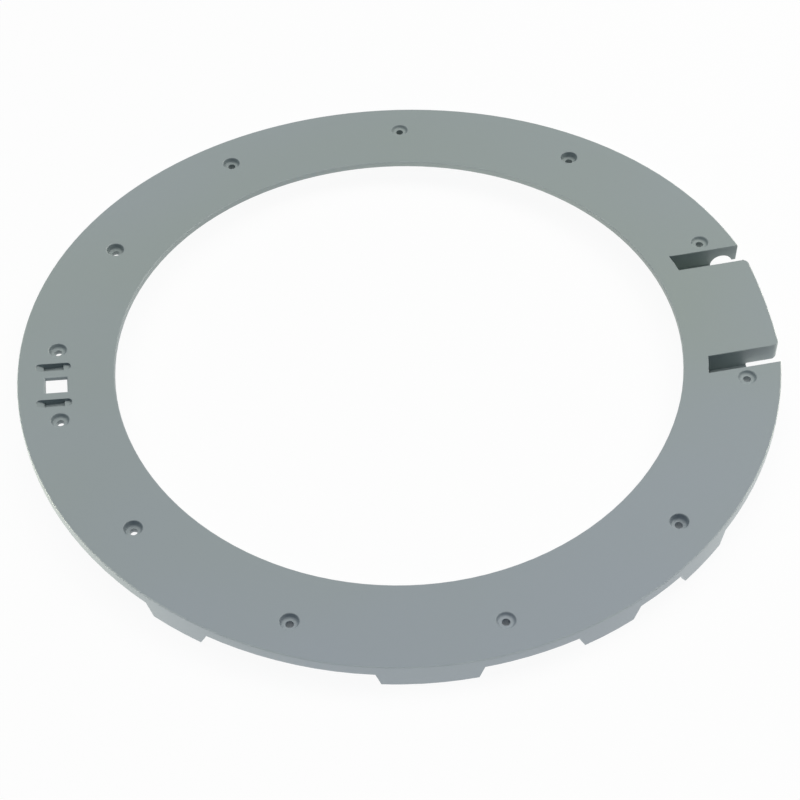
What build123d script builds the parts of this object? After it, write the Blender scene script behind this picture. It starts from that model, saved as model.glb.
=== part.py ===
from build123d import *
import os
from math import cos, radians, sin, sqrt

# Overall form. X runs from the latch side to the hinge side and the face looks up along Z.
outline_length = 392.6
outline_width = 385.6
opening_diameter = 294.0
bow_radius = 2550.0

# Walls. Depths are measured down from the bowed face.
face_thickness = 2.2
rim_wall = 2.2
rim_depth = 6.4
lip_wall = 2.4
lip_depth = 3.5

# Tabs that reach down from the outer wall, by their angle from the hinge side.
tab_depth = 14.2
short_tab_angles = (49.6, 67.6, 130.6)
short_tab_length = 34.5
short_tab_foot = 27.2
long_tab_angles = (93.9,)
long_tab_length = 50.5
long_tab_foot = 45.4

# Screw places on one half: angle, distance in from the outline, depth of the head recess, depth of the boss.
screw_rows = [
    (16.0, 17.0, 1.8, 6.0),
    (48.3, 18.6, 3.4, 9.0),
    (81.7, 18.4, 1.8, 9.0),
    (115.0, 18.4, 2.7, 9.0),
    (146.1, 23.4, 3.2, 6.0),
    (172.2, 19.3, 2.4, 5.1),
]
screw_hole_diameter = 4.0
recess_diameter = 9.3
boss_wall = 2.2
rib_thickness = 1.8

# Hinge side: two slots with a tongue between them, and a round seat in each outer slot wall.
slot_width = 11.1
slot_reach = 36.7
tongue_width = 62.8
tongue_setback = 1.5
tongue_edge_radius = 380.0
tongue_corner = 3.0
slot_wall = 2.2
slot_wall_depth = 13.6
slot_floor = 1.8
hinge_edge_depth = 10.5
hinge_leg_length = 12.0
pin_seat_diameter = 12.0
pin_seat_depth = 12.1
pin_seat_inset = 12.9

# Latch side: a through window between two blind grooves, each with a shelf at either end of a deeper core.
window_length = 10.9
window_width = 9.8
window_inset = 19.7
groove_length = 17.6
groove_core = 10.2
groove_width = 4.9
groove_corner = 2.0
groove_spacing = 24.6
groove_inset = 18.4
groove_depth = 3.6
groove_shelf_depth = 2.0
groove_outer_step = 0.5
groove_inner_step = 1.6
groove_wall = 1.5
groove_floor = 1.3

# Helper sizes that only have to clear the part.
margin = 5.0
overlap = 1.0
half_length = outline_length / 2
half_width = outline_width / 2
reach = max(outline_length, outline_width)
slot_outer_side = tongue_width / 2 + slot_width


def face_height(x):
    return tab_depth + bow_radius - sqrt(bow_radius**2 - x**2)


def outline_radius(angle):
    along = cos(radians(angle)) / half_length
    across = sin(radians(angle)) / half_width
    return 1 / sqrt(along**2 + across**2)


def polar(radius, angle):
    return (radius * cos(radians(angle)), radius * sin(radians(angle)))


# Plans are drawn below the part and carried up past its highest point.
plan = Plane.XY.offset(-margin)
tall = face_height(half_length) + 2 * margin


# The layer between two depths below the bowed face.
def bowed_layer(upper, lower):
    span = half_length + margin
    with BuildPart() as layer:
        with BuildSketch(Plane.XZ):
            with BuildLine():
                ends = [(-span, face_height(span)), (0, face_height(0)), (span, face_height(span))]
                roof = ThreePointArc(*[(x, z - upper) for x, z in ends])
                floor = ThreePointArc(*[(x, z - lower) for x, z in ends])
                Line(roof @ 0, floor @ 0)
                Line(roof @ 1, floor @ 1)
            make_face()
        extrude(amount=reach, both=True)
    return layer.part


def below(depth):
    return bowed_layer(depth, tab_depth + tall)


# Hollow underside between the outer wall and the lip round the opening.
with BuildPart() as hollow:
    with BuildSketch(plan):
        Ellipse(half_length - rim_wall, half_width - rim_wall)
        Circle(opening_diameter / 2 + lip_wall, mode=Mode.SUBTRACT)
    extrude(amount=tall)
    add(below(face_thickness), mode=Mode.INTERSECT)

# The lip round the opening is cut off at its own depth.
with BuildPart() as lip_trim:
    with BuildSketch(plan):
        Circle(opening_diameter / 2 + lip_wall + rim_wall)
    extrude(amount=tall)
    add(below(lip_depth), mode=Mode.INTERSECT)


# A tapered tab, standing out along the radius at its angle.
def tab_shape(angle, length, foot):
    x, y = polar(outline_radius(angle), angle)
    outward = Vector(x, y, 0).normalized()
    sideways = Vector(-outward.Y, outward.X, 0)
    top = face_height(x) - rim_depth
    drop = tab_depth - rim_depth
    taper = (length - foot) / 2 / drop
    high = length / 2 + taper * margin
    low = foot / 2 - taper * margin
    with BuildPart() as tab:
        start = outward * (outline_radius(angle) - margin)
        with BuildSketch(Plane(origin=start, x_dir=sideways, z_dir=outward)):
            with BuildLine():
                upper = top + margin
                lower = top - drop - margin
                Polyline((-high, upper), (high, upper), (low, lower), (-low, lower), close=True)
            make_face()
        extrude(amount=2 * margin)
    return tab.part


tabs = []
for side in (1, -1):
    for angle in short_tab_angles:
        tabs.append(tab_shape(side * angle, short_tab_length, short_tab_foot))
    for angle in long_tab_angles:
        tabs.append(tab_shape(side * angle, long_tab_length, long_tab_foot))

# The outer wall also reaches further down beside each hinge slot.
with BuildPart() as hinge_legs:
    with BuildSketch(plan), Locations((half_length, 0)):
        Rectangle(outline_length, 2 * (slot_outer_side + hinge_leg_length))
    extrude(amount=tall)
    add(bowed_layer(0, hinge_edge_depth), mode=Mode.INTERSECT)

# Elsewhere the outer wall ends at the rim depth.
with BuildPart() as rim_trim:
    with BuildSketch(plan):
        Ellipse(half_length + margin, half_width + margin)
        Ellipse(half_length - rim_wall - overlap, half_width - rim_wall - overlap, mode=Mode.SUBTRACT)
    extrude(amount=tall)
    add(below(rim_depth), mode=Mode.INTERSECT)
    add(tabs + [hinge_legs.part], mode=Mode.SUBTRACT)

# Screw bosses, each with a rib out to the outer wall and in to the lip.
screws = []
for angle, inset, recess_depth, boss_depth in screw_rows:
    for side in (1, -1):
        screws.append((side * angle, outline_radius(angle) - inset, recess_depth, boss_depth))


def boss_shape(angle, radius, boss_depth):
    x, y = polar(radius, angle)
    with BuildPart() as boss:
        with BuildSketch(Plane.XY.offset(face_height(x) - boss_depth)), Locations((x, y)):
            Circle(recess_diameter / 2 + boss_wall)
        extrude(amount=boss_depth - face_thickness / 2)
    return boss.part


def rib_shape(angle, start, end, depth):
    with BuildPart() as rib:
        with BuildSketch(plan.rotated((0, 0, angle))), Locations(((start + end) / 2, 0)):
            Rectangle(end - start, rib_thickness)
        extrude(amount=tall)
        add(bowed_layer(face_thickness / 2, depth), mode=Mode.INTERSECT)
    return rib.part


bosses = [boss_shape(angle, radius, boss_depth) for angle, radius, recess_depth, boss_depth in screws]
ribs = []
for angle, radius, recess_depth, boss_depth in screws:
    lip_radius = opening_diameter / 2 + lip_wall / 2
    rim_radius = outline_radius(angle) - rim_wall / 2
    ribs.append(rib_shape(angle, lip_radius, radius, lip_depth))
    ribs.append(rib_shape(angle, radius, rim_radius, min(rim_depth, boss_depth)))

# Plan of the hinge side: the tongue, and the cut-out round it that leaves the two slots.
slot_end_radius = half_length - slot_reach
seat_x = half_length - pin_seat_inset
seat_z = face_height(seat_x) - pin_seat_depth

tongue_centre = half_length - tongue_setback - tongue_edge_radius

with BuildSketch() as tongue_plan:
    with Locations((tongue_centre, 0)):
        Circle(tongue_edge_radius)
    with Locations((half_length / 2, 0)):
        Rectangle(outline_length, tongue_width, mode=Mode.INTERSECT)
    corners = [v for v in tongue_plan.vertices() if v.X > slot_end_radius and abs(v.Y) > tongue_corner]
    fillet(corners, tongue_corner)

with BuildSketch() as tongue_inside:
    with Locations((tongue_centre, 0)):
        Circle(tongue_edge_radius - rim_wall)
    with Locations((half_length / 2, 0)):
        Rectangle(outline_length, tongue_width - 2 * slot_wall, mode=Mode.INTERSECT)

# Each slot has a floor as far out as its seat, and is open below beyond it.
slot_floor_end = seat_x - pin_seat_diameter / 2

with BuildPart() as slot_floors:
    with BuildSketch(plan), Locations((slot_floor_end, 0)):
        Rectangle(half_length, 2 * (slot_outer_side + overlap), align=(Align.MAX, Align.CENTER))
    extrude(amount=tall)
    add(below(slot_wall_depth - slot_floor), mode=Mode.INTERSECT)

with BuildPart() as hinge_cut:
    with BuildSketch(plan):
        with Locations((half_length, 0)):
            Rectangle(outline_length, 2 * slot_outer_side)
        Circle(slot_end_radius, mode=Mode.SUBTRACT)
        add(tongue_plan.sketch, mode=Mode.SUBTRACT)
    extrude(amount=tall)
    add(slot_floors.part, mode=Mode.SUBTRACT)

# Walls that hang down round the slots and along the tongue's edge.
with BuildPart() as slot_walls:
    with BuildSketch(plan):
        Ellipse(half_length - rim_wall / 2, half_width - rim_wall / 2)
        with Locations((half_length, 0)):
            Rectangle(outline_length, 2 * (slot_outer_side + slot_wall), mode=Mode.INTERSECT)
        with Locations((half_length / 2, 0)):
            Rectangle(half_length + 2 * overlap, tongue_width + slot_width)
        Circle(slot_end_radius - slot_wall, mode=Mode.SUBTRACT)
        add(tongue_inside.sketch, mode=Mode.SUBTRACT)
    extrude(amount=tall)
    add(bowed_layer(face_thickness / 2, slot_wall_depth), mode=Mode.INTERSECT)

# Towards the outer edge the tongue's walls and the legs stop short of the slot walls' depth.
with BuildPart() as hinge_trim:
    with BuildSketch(plan):
        with Locations((slot_floor_end, 0)):
            Rectangle(half_length, 2 * slot_outer_side, align=(Align.MIN, Align.CENTER))
        with Locations((seat_x, 0)):
            Rectangle(half_length, 2 * (slot_outer_side + hinge_leg_length), align=(Align.MIN, Align.CENTER))
    extrude(amount=tall)
    add(below(hinge_edge_depth), mode=Mode.INTERSECT)

# Round seats for the hinge pin, cut up into the outer walls of the slots.
with BuildPart() as pin_seats:
    with BuildSketch(Plane.XZ):
        with Locations((seat_x, seat_z)):
            Circle(pin_seat_diameter / 2)
            Rectangle(pin_seat_diameter, tall, align=(Align.CENTER, Align.MAX))
    extrude(amount=slot_outer_side + slot_wall, both=True)
    with BuildSketch(Plane.XZ):
        Rectangle(2 * reach, 2 * reach)
    extrude(amount=slot_outer_side - overlap, both=True, mode=Mode.SUBTRACT)

# Latch side: ribs that hold the grooves, then the grooves.
groove_x = groove_inset - half_length
groove_places = [(groove_x, groove_spacing / 2), (groove_x, -groove_spacing / 2)]

with BuildPart() as groove_ribs:
    with BuildSketch(plan), Locations(groove_places):
        Rectangle(groove_length + 2 * groove_wall, groove_width + 2 * groove_wall)
    extrude(amount=tall)
    add(bowed_layer(face_thickness / 2, groove_depth + groove_floor), mode=Mode.INTERSECT)

with BuildPart() as grooves:
    with BuildSketch(plan), Locations(groove_places):
        RectangleRounded(groove_length, groove_width, groove_corner)
    extrude(amount=tall)
    with BuildSketch(Plane.XZ):
        with BuildLine():
            left = groove_x - groove_length / 2
            right = groove_x + groove_length / 2
            core_left = groove_x - groove_core / 2
            core_right = groove_x + groove_core / 2
            shelf_z = face_height(groove_x) - groove_shelf_depth
            floor_z = face_height(groove_x) - groove_depth
            Polyline(
                (left, tall),
                (left, face_height(left) - groove_outer_step),
                (core_left, shelf_z),
                (core_left, floor_z),
                (core_right, floor_z),
                (core_right, shelf_z),
                (right, face_height(right) - groove_inner_step),
                (right, tall),
                close=True,
            )
        make_face()
    extrude(amount=half_width, both=True, mode=Mode.INTERSECT)

with BuildPart() as inner_door_frame:
    # Bowed ring.
    with BuildSketch(plan):
        Ellipse(half_length, half_width)
        Circle(opening_diameter / 2, mode=Mode.SUBTRACT)
    extrude(amount=tall)
    add(bowed_layer(0, tab_depth), mode=Mode.INTERSECT)

    # Hollow underside, lip, and outer wall with its tabs.
    add(hollow.part, mode=Mode.SUBTRACT)
    add(lip_trim.part, mode=Mode.SUBTRACT)
    add(rim_trim.part, mode=Mode.SUBTRACT)

    # Bosses, ribs and the walls on the hinge and latch sides.
    add(bosses)
    add(ribs)
    add([slot_walls.part, groove_ribs.part])

    # Hinge slots and seats.
    add(hinge_cut.part, mode=Mode.SUBTRACT)
    add(hinge_trim.part, mode=Mode.SUBTRACT)
    add(pin_seats.part, mode=Mode.SUBTRACT)

    # Latch window and grooves.
    with BuildSketch(plan), Locations((window_inset - half_length, 0)):
        Rectangle(window_length, window_width)
    extrude(amount=tall, mode=Mode.SUBTRACT)
    add(grooves.part, mode=Mode.SUBTRACT)

    # Screw recesses and holes.
    for angle, radius, recess_depth, boss_depth in screws:
        x, y = polar(radius, angle)
        with Locations((x, y, face_height(x))):
            CounterBoreHole(screw_hole_diameter / 2, recess_diameter / 2, recess_depth, tall)

inner_door_frame.part.label = "inner_door_frame"

os.makedirs("parts", exist_ok=True)
export_step(inner_door_frame.part, "parts/inner_door_frame.step")
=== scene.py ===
from math import cos, hypot, radians, sin, sqrt

import bmesh
import bpy
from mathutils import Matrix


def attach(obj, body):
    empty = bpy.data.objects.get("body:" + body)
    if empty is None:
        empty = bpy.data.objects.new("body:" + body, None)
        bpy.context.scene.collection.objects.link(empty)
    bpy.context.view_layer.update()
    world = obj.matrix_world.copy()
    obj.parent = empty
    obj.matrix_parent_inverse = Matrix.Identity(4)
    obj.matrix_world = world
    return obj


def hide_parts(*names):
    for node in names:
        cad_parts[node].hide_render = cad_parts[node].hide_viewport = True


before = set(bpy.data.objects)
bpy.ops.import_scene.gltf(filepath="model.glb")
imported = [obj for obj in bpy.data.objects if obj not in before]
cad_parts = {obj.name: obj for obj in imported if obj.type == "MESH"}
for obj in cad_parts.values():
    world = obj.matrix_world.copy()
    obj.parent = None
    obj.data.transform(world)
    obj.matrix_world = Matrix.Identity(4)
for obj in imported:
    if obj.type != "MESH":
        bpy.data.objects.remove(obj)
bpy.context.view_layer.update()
print("frame loaded:", sorted(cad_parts))


# door ring, a merged copy of the moulding with its edges eased and its recess walls leaning in
# each ease is the width of a rounding and the number of steps across it

ringValues = {
    "name": "doorRing",
    "node": "inner_door_frame",
    "mergeDistance": 0.00001,
    "flatAngle": 0.2,  # degrees, triangles that lie flatter than this join up
    "sharpAngle": 50.0,  # degrees, edges above this stay crisp
    "halfLength": 0.1963,
    "halfWidth": 0.1928,
    "outlineBand": 0.002,  # share of the outline within which a point counts as on it
    "openingRadius": 0.147,
    "circleBand": 0.0001,  # distance within which a point counts as on a circle
    "tongueEdge": 0.1915,
    "tongueHalfWidth": 0.0315,
    "faceRest": 0.0142,  # height of the face at its lowest line
    "bowRadius": 2.55,
    "lowestFace": 0.0138,  # no edge of the face lies lower
    "faceBand": 0.0002,  # points deeper than this under the face belong to shelves and floors
    "levelNormal": 0.99,  # upward share of the normal on the face
    "longEase": (0.0007, 3),  # the face's long outer and inner edges
    "grooveEase": (0.0003, 2),  # latch grooves
    "grooveEnd": -0.165,
    "grooveSides": (0.0095, 0.0151),
    "windowEase": (0.0011, 3),  # latch window
    "windowSide": 0.0060,
    "shortEase": (0.0005, 2),  # recesses and hinge slots
    "footEase": (0.0004, 2),  # lower edge of the outer wall and its tabs
    "screwRows": (  # degrees from the hinge side, distance in from the outline
        (16.0, 0.0170),
        (48.3, 0.0186),
        (81.7, 0.0184),
        (115.0, 0.0184),
        (146.1, 0.0234),
        (172.2, 0.0193),
    ),
    "recessRadius": 0.00465,
    "recessLean": 0.0008,  # how far the recess wall leans in at its foot
    "recessEase": (0.0009, 3),  # between that wall and the recess floor
    "shallowest": 0.001,  # every recess floor lies deeper under the face
}


def faceHeight(x):
    bow = ringValues["bowRadius"]
    return ringValues["faceRest"] + bow - sqrt(bow**2 - x**2)


def sharpEdges(bm):
    limit = radians(ringValues["sharpAngle"])
    return [e for e in bm.edges if len(e.link_faces) == 2 and e.calc_face_angle(0.0) > limit]


def screwAxes():
    axes = []
    for angle, inset in ringValues["screwRows"]:
        across, along = cos(radians(angle)), sin(radians(angle))
        reach = 1.0 / hypot(across / ringValues["halfLength"], along / ringValues["halfWidth"]) - inset
        axes += [(reach * across, side * reach * along) for side in (1, -1)]
    return axes


def onCircle(v, x, y, radius):
    return abs(hypot(v.co.x - x, v.co.y - y) - radius) < ringValues["circleBand"]


def recessFeet(bm, radius):
    low = [v for v in bm.verts if v.co.z < faceHeight(v.co.x) - ringValues["shallowest"]]
    return [(v, x, y) for x, y in screwAxes() for v in low if onCircle(v, x, y, radius)]


def leanRecesses(bm):
    share = ringValues["recessLean"] / ringValues["recessRadius"]
    for v, x, y in recessFeet(bm, ringValues["recessRadius"]):
        v.co.x += share * (x - v.co.x)
        v.co.y += share * (y - v.co.y)


def footEdges(bm):
    feet = {v for v, x, y in recessFeet(bm, ringValues["recessRadius"] - ringValues["recessLean"])}
    return [e for e in sharpEdges(bm) if all(v in feet for v in e.verts)]


def onOutline(v):
    reach = (v.co.x / ringValues["halfLength"]) ** 2 + (v.co.y / ringValues["halfWidth"]) ** 2
    return abs(reach - 1.0) < ringValues["outlineBand"]


def onOpening(v):
    return onCircle(v, 0.0, 0.0, ringValues["openingRadius"])


def onTongue(v):
    return v.co.x > ringValues["tongueEdge"] and abs(v.co.y) < ringValues["tongueHalfWidth"]


def onLong(edge):
    return any(all(test(v) for v in edge.verts) for test in (onOutline, onOpening, onTongue))


def onGroove(edge):
    low, high = ringValues["grooveSides"]
    return all(v.co.x < ringValues["grooveEnd"] and low < abs(v.co.y) < high for v in edge.verts)


def onWindow(edge):
    side = ringValues["windowSide"]
    return all(v.co.x < ringValues["grooveEnd"] and abs(v.co.y) < side for v in edge.verts)


def onShelf(edge):
    place = edge.verts[0].co
    return place.z < faceHeight(place.x) - ringValues["faceBand"]


def onFace(edge):
    up = [f for f in edge.link_faces if f.normal.z > ringValues["levelNormal"]]
    low = min(v.co.z for v in edge.verts)
    return len(up) == 1 and low > ringValues["lowestFace"] and not onShelf(edge)


def easeEdges(bm, edges, ease, rubbed=1.0):
    width, steps = ease
    made = bmesh.ops.bevel(
        bm,
        geom=edges,
        offset=width,
        offset_type="OFFSET",
        affect="EDGES",
        segments=steps,
        profile=0.5,
        material=-1,
        clamp_overlap=False,
    )
    bm.normal_update()
    wear = bm.verts.layers.float["edgeWear"]
    strip = set(made["faces"])
    for v in made["verts"]:
        v[wear] = rubbed if all(f in strip for f in v.link_faces) else 0.0


def buildRing():
    bm = bmesh.new()
    bm.from_mesh(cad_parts[ringValues["node"]].data)
    bm.verts.layers.float.new("edgeWear")
    bmesh.ops.remove_doubles(bm, verts=bm.verts, dist=ringValues["mergeDistance"])
    flat = radians(ringValues["flatAngle"])
    bmesh.ops.dissolve_limit(bm, angle_limit=flat, verts=bm.verts, edges=bm.edges)
    leanRecesses(bm)
    bm.normal_update()
    easeEdges(bm, footEdges(bm), ringValues["recessEase"], rubbed=0.0)
    for test, name in ((onLong, "longEase"), (onGroove, "grooveEase"), (onWindow, "windowEase")):
        easeEdges(bm, [e for e in sharpEdges(bm) if onFace(e) and test(e)], ringValues[name])
    easeEdges(bm, [e for e in sharpEdges(bm) if onFace(e)], ringValues["shortEase"])
    easeEdges(bm, [e for e in sharpEdges(bm) if onLong(e)], ringValues["footEase"])
    bmesh.ops.dissolve_degenerate(bm, dist=ringValues["mergeDistance"], edges=bm.edges)
    bm.normal_update()
    for f in bm.faces:
        f.smooth = True
    for e in sharpEdges(bm):
        e.smooth = False
    mesh = bpy.data.meshes.new(ringValues["name"])
    bm.to_mesh(mesh)
    bm.free()
    ring = bpy.data.objects.new(ringValues["name"], mesh)
    bpy.context.scene.collection.objects.link(ring)
    even = ring.modifiers.new("evenNormals", "WEIGHTED_NORMAL")
    even.keep_sharp = True
    return ring


# grey plastic, satin on the textured face and a little shinier underneath

plasticValues = {
    "name": "greyPlastic",
    "cool": (0.280, 0.318, 0.352, 1.0),
    "warm": (0.268, 0.314, 0.300, 1.0),
    "cloudScale": 3.0,  # slow drift between the cool and warm tints across the part
    "cloudDetail": 3.0,
    "cloudShift": (0.53, 1.27, 0.6),
    "cloudRange": (0.35, 0.63),
    "worn": (0.330, 0.375, 0.385, 1.0),  # edges rubbed a little paler
    "wornScale": 60.0,
    "faceRoughness": 0.52,
    "underRoughness": 0.38,
    "faceSlope": (0.1, 0.6),  # upward share of the normal from underside to face
    "grainScale": 2600.0,  # fine mould texture
    "grainDetail": 2.0,
    "grainDepth": 0.00004,
    "grainStrength": 0.25,
    "specular": 0.4,
}


def addNode(tree, kind, place, **values):
    node = tree.nodes.new(kind)
    node.location = place
    for name, value in values.items():
        setattr(node, name, value)
    return node


def setInputs(node, values):
    for name, value in values.items():
        node.inputs[name].default_value = value


def buildPlastic():
    material = bpy.data.materials.new(plasticValues["name"])
    material.use_nodes = True
    tree = material.node_tree
    tree.nodes.clear()
    link = tree.links.new
    out = addNode(tree, "ShaderNodeOutputMaterial", (900, 0))
    shader = addNode(tree, "ShaderNodeBsdfPrincipled", (600, 0))
    setInputs(shader, {"Specular IOR Level": plasticValues["specular"]})
    link(shader.outputs["BSDF"], out.inputs["Surface"])
    coords = addNode(tree, "ShaderNodeTexCoord", (-900, 0))

    drift = addNode(tree, "ShaderNodeMapping", (-800, 250))
    setInputs(drift, {"Location": plasticValues["cloudShift"]})
    link(coords.outputs["Object"], drift.inputs["Vector"])
    cloud = addNode(tree, "ShaderNodeTexNoise", (-600, 250))
    setInputs(cloud, {"Scale": plasticValues["cloudScale"], "Detail": plasticValues["cloudDetail"]})
    link(drift.outputs["Vector"], cloud.inputs["Vector"])
    spread = addNode(tree, "ShaderNodeMapRange", (-450, 250))
    low, high = plasticValues["cloudRange"]
    setInputs(spread, {"From Min": low, "From Max": high})
    link(cloud.outputs["Fac"], spread.inputs["Value"])
    tint = addNode(tree, "ShaderNodeMix", (-300, 250), data_type="RGBA")
    setInputs(tint, {"A": plasticValues["warm"], "B": plasticValues["cool"]})
    link(spread.outputs["Result"], tint.inputs["Factor"])

    wear = addNode(tree, "ShaderNodeAttribute", (-600, 550), attribute_name="edgeWear")
    patch = addNode(tree, "ShaderNodeTexNoise", (-600, 800))
    setInputs(patch, {"Scale": plasticValues["wornScale"]})
    link(coords.outputs["Object"], patch.inputs["Vector"])
    rub = addNode(tree, "ShaderNodeMath", (-300, 600), operation="MULTIPLY")
    link(wear.outputs["Fac"], rub.inputs[0])
    link(patch.outputs["Fac"], rub.inputs[1])
    worn = addNode(tree, "ShaderNodeMix", (0, 350), data_type="RGBA")
    setInputs(worn, {"B": plasticValues["worn"]})
    link(rub.outputs["Value"], worn.inputs["Factor"])
    link(tint.outputs["Result"], worn.inputs["A"])
    link(worn.outputs["Result"], shader.inputs["Base Color"])

    geometry = addNode(tree, "ShaderNodeNewGeometry", (-900, -250))
    split = addNode(tree, "ShaderNodeSeparateXYZ", (-700, -250))
    link(geometry.outputs["Normal"], split.inputs["Vector"])
    faceMask = addNode(tree, "ShaderNodeMapRange", (-500, -250))
    low, high = plasticValues["faceSlope"]
    under, over = plasticValues["underRoughness"], plasticValues["faceRoughness"]
    setInputs(faceMask, {"From Min": low, "From Max": high, "To Min": under, "To Max": over})
    link(split.outputs["Z"], faceMask.inputs["Value"])
    link(faceMask.outputs["Result"], shader.inputs["Roughness"])

    grain = addNode(tree, "ShaderNodeTexNoise", (-300, -500))
    setInputs(grain, {"Scale": plasticValues["grainScale"], "Detail": plasticValues["grainDetail"]})
    link(coords.outputs["Object"], grain.inputs["Vector"])
    bump = addNode(tree, "ShaderNodeBump", (300, -350))
    setInputs(bump, {"Strength": plasticValues["grainStrength"], "Distance": plasticValues["grainDepth"]})
    link(grain.outputs["Fac"], bump.inputs["Height"])
    link(bump.outputs["Normal"], shader.inputs["Normal"])
    return material


# floor, a white table that glows a little and still holds a soft shadow

floorValues = {
    "name": "studioFloor",
    "size": 12.0,
    "colour": (0.9, 0.9, 0.9, 1.0),
    "shadowShare": 0.07,
    "seenGlow": 1.0,
    "glow": 1.15,  # what the table gives to the underside and the outer wall
}


def seenDirectly(tree):
    path = addNode(tree, "ShaderNodeLightPath", (-1200, -100))
    mirrored = addNode(tree, "ShaderNodeMath", (-900, -100), operation="MAXIMUM")
    tree.links.new(path.outputs["Is Glossy Ray"], mirrored.inputs[0])
    tree.links.new(path.outputs["Is Transmission Ray"], mirrored.inputs[1])
    seen = addNode(tree, "ShaderNodeMath", (-600, -100), operation="MAXIMUM")
    tree.links.new(path.outputs["Is Camera Ray"], seen.inputs[0])
    tree.links.new(mirrored.outputs["Value"], seen.inputs[1])
    return seen.outputs["Value"]


def buildFloor():
    bm = bmesh.new()
    bmesh.ops.create_grid(bm, x_segments=1, y_segments=1, size=floorValues["size"] / 2)
    mesh = bpy.data.meshes.new(floorValues["name"])
    bm.to_mesh(mesh)
    bm.free()
    floor = bpy.data.objects.new(floorValues["name"], mesh)
    bpy.context.scene.collection.objects.link(floor)
    material = bpy.data.materials.new(floorValues["name"])
    material.use_nodes = True
    tree = material.node_tree
    tree.nodes.clear()
    link = tree.links.new
    out = addNode(tree, "ShaderNodeOutputMaterial", (900, 0))
    matt = addNode(tree, "ShaderNodeBsdfDiffuse", (0, 100))
    setInputs(matt, {"Color": floorValues["colour"]})
    level = addNode(tree, "ShaderNodeMapRange", (-300, -100))
    setInputs(level, {"To Min": floorValues["glow"], "To Max": floorValues["seenGlow"]})
    link(seenDirectly(tree), level.inputs["Value"])
    white = addNode(tree, "ShaderNodeEmission", (0, -100))
    link(level.outputs["Result"], white.inputs["Strength"])
    table = addNode(tree, "ShaderNodeMixShader", (300, 0))
    setInputs(table, {"Fac": 1.0 - floorValues["shadowShare"]})
    link(matt.outputs["BSDF"], table.inputs[1])
    link(white.outputs["Emission"], table.inputs[2])
    clear = addNode(tree, "ShaderNodeBsdfTransparent", (300, -200))  # seen through from below
    geometry = addNode(tree, "ShaderNodeNewGeometry", (300, 300))
    both = addNode(tree, "ShaderNodeMixShader", (600, 0))
    link(geometry.outputs["Backfacing"], both.inputs["Fac"])
    link(table.outputs["Shader"], both.inputs[1])
    link(clear.outputs["BSDF"], both.inputs[2])
    link(both.outputs["Shader"], out.inputs["Surface"])
    mesh.materials.append(material)
    return floor


# light, a broad key from above and behind, a soft box above the hinge side and three low ones

lightValues = {
    "sky": (0.70, 0.95, 1.35, 1.0),
    "skyStrength": 0.12,
    "seenSky": (1.0, 1.0, 1.0, 1.0),
    "key": {
        "name": "softKey",
        "turn": (-20.0, -8.0, 0.0),
        "spread": 60.0,
        "strength": 1.51,
        "tint": (1.0, 0.985, 0.915),
    },
    "boxes": [  # name, place, size, watts, tint
        ("softBoxLatch", (-0.52, -0.02, 0.012), (0.2, 0.02), 1.6, (1.0, 0.93, 0.77)),
        ("softBoxHinge", (1.41, 0.50, 0.011), (0.9, 0.02), 22.0, (1.0, 0.93, 0.77)),
        ("softBoxAbove", (1.20, 0.40, 1.60), (1.2, 1.2), 16.7, (1.0, 0.965, 0.89)),
        ("softBoxFront", (0.0, -1.60, 0.06), (1.6, 0.10), 8.0, (1.0, 0.98, 0.86)),
    ],
}


def buildSky():
    world = bpy.data.worlds.new("paleStudio")
    bpy.context.scene.world = world
    world.use_nodes = True
    tree = world.node_tree
    tree.nodes.clear()
    link = tree.links.new
    out = addNode(tree, "ShaderNodeOutputWorld", (600, 0))
    sky = addNode(tree, "ShaderNodeBackground", (0, 100))
    setInputs(sky, {"Color": lightValues["sky"], "Strength": lightValues["skyStrength"]})
    white = addNode(tree, "ShaderNodeBackground", (0, -100))
    setInputs(white, {"Color": lightValues["seenSky"]})
    mix = addNode(tree, "ShaderNodeMixShader", (300, 0))
    link(seenDirectly(tree), mix.inputs["Fac"])
    link(sky.outputs["Background"], mix.inputs[1])
    link(white.outputs["Background"], mix.inputs[2])
    link(mix.outputs["Shader"], out.inputs["Surface"])


def buildLamps():
    key = lightValues["key"]
    lamp = bpy.data.lights.new(key["name"], "SUN")
    lamp.energy = key["strength"]
    lamp.angle = radians(key["spread"])
    lamp.color = key["tint"]
    item = bpy.data.objects.new(key["name"], lamp)
    item.rotation_euler = [radians(a) for a in key["turn"]]
    bpy.context.scene.collection.objects.link(item)
    for name, place, size, watts, tint in lightValues["boxes"]:
        lamp = bpy.data.lights.new(name, "AREA")
        lamp.shape = "RECTANGLE"
        lamp.size, lamp.size_y = size
        lamp.energy = watts
        lamp.color = tint
        item = bpy.data.objects.new(name, lamp)
        item.location = place
        item.visible_camera = False
        item.rotation_euler = item.location.to_track_quat("Z", "Y").to_euler()
        bpy.context.scene.collection.objects.link(item)


# camera, where the photograph was taken from

cameraValues = {
    "place": (-0.08197, -0.64657, 0.73302),
    "turn": (40.734, 0.8541, -8.2157),
    "lens": 83.872,
    "sensor": 36.0,
}


def buildCamera():
    data = bpy.data.cameras.new("photoCamera")
    data.lens = cameraValues["lens"]
    data.sensor_width = cameraValues["sensor"]
    camera = bpy.data.objects.new("photoCamera", data)
    camera.location = cameraValues["place"]
    camera.rotation_euler = [radians(a) for a in cameraValues["turn"]]
    bpy.context.scene.collection.objects.link(camera)
    bpy.context.scene.camera = camera


ring = buildRing()
ring.data.materials.append(buildPlastic())
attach(ring, "root")
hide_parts(ringValues["node"])
print("door ring ready:", len(ring.data.polygons), "faces")

buildFloor()
buildSky()
buildLamps()
buildCamera()
bpy.context.scene.view_settings.view_transform = "Standard"
print("studio ready")
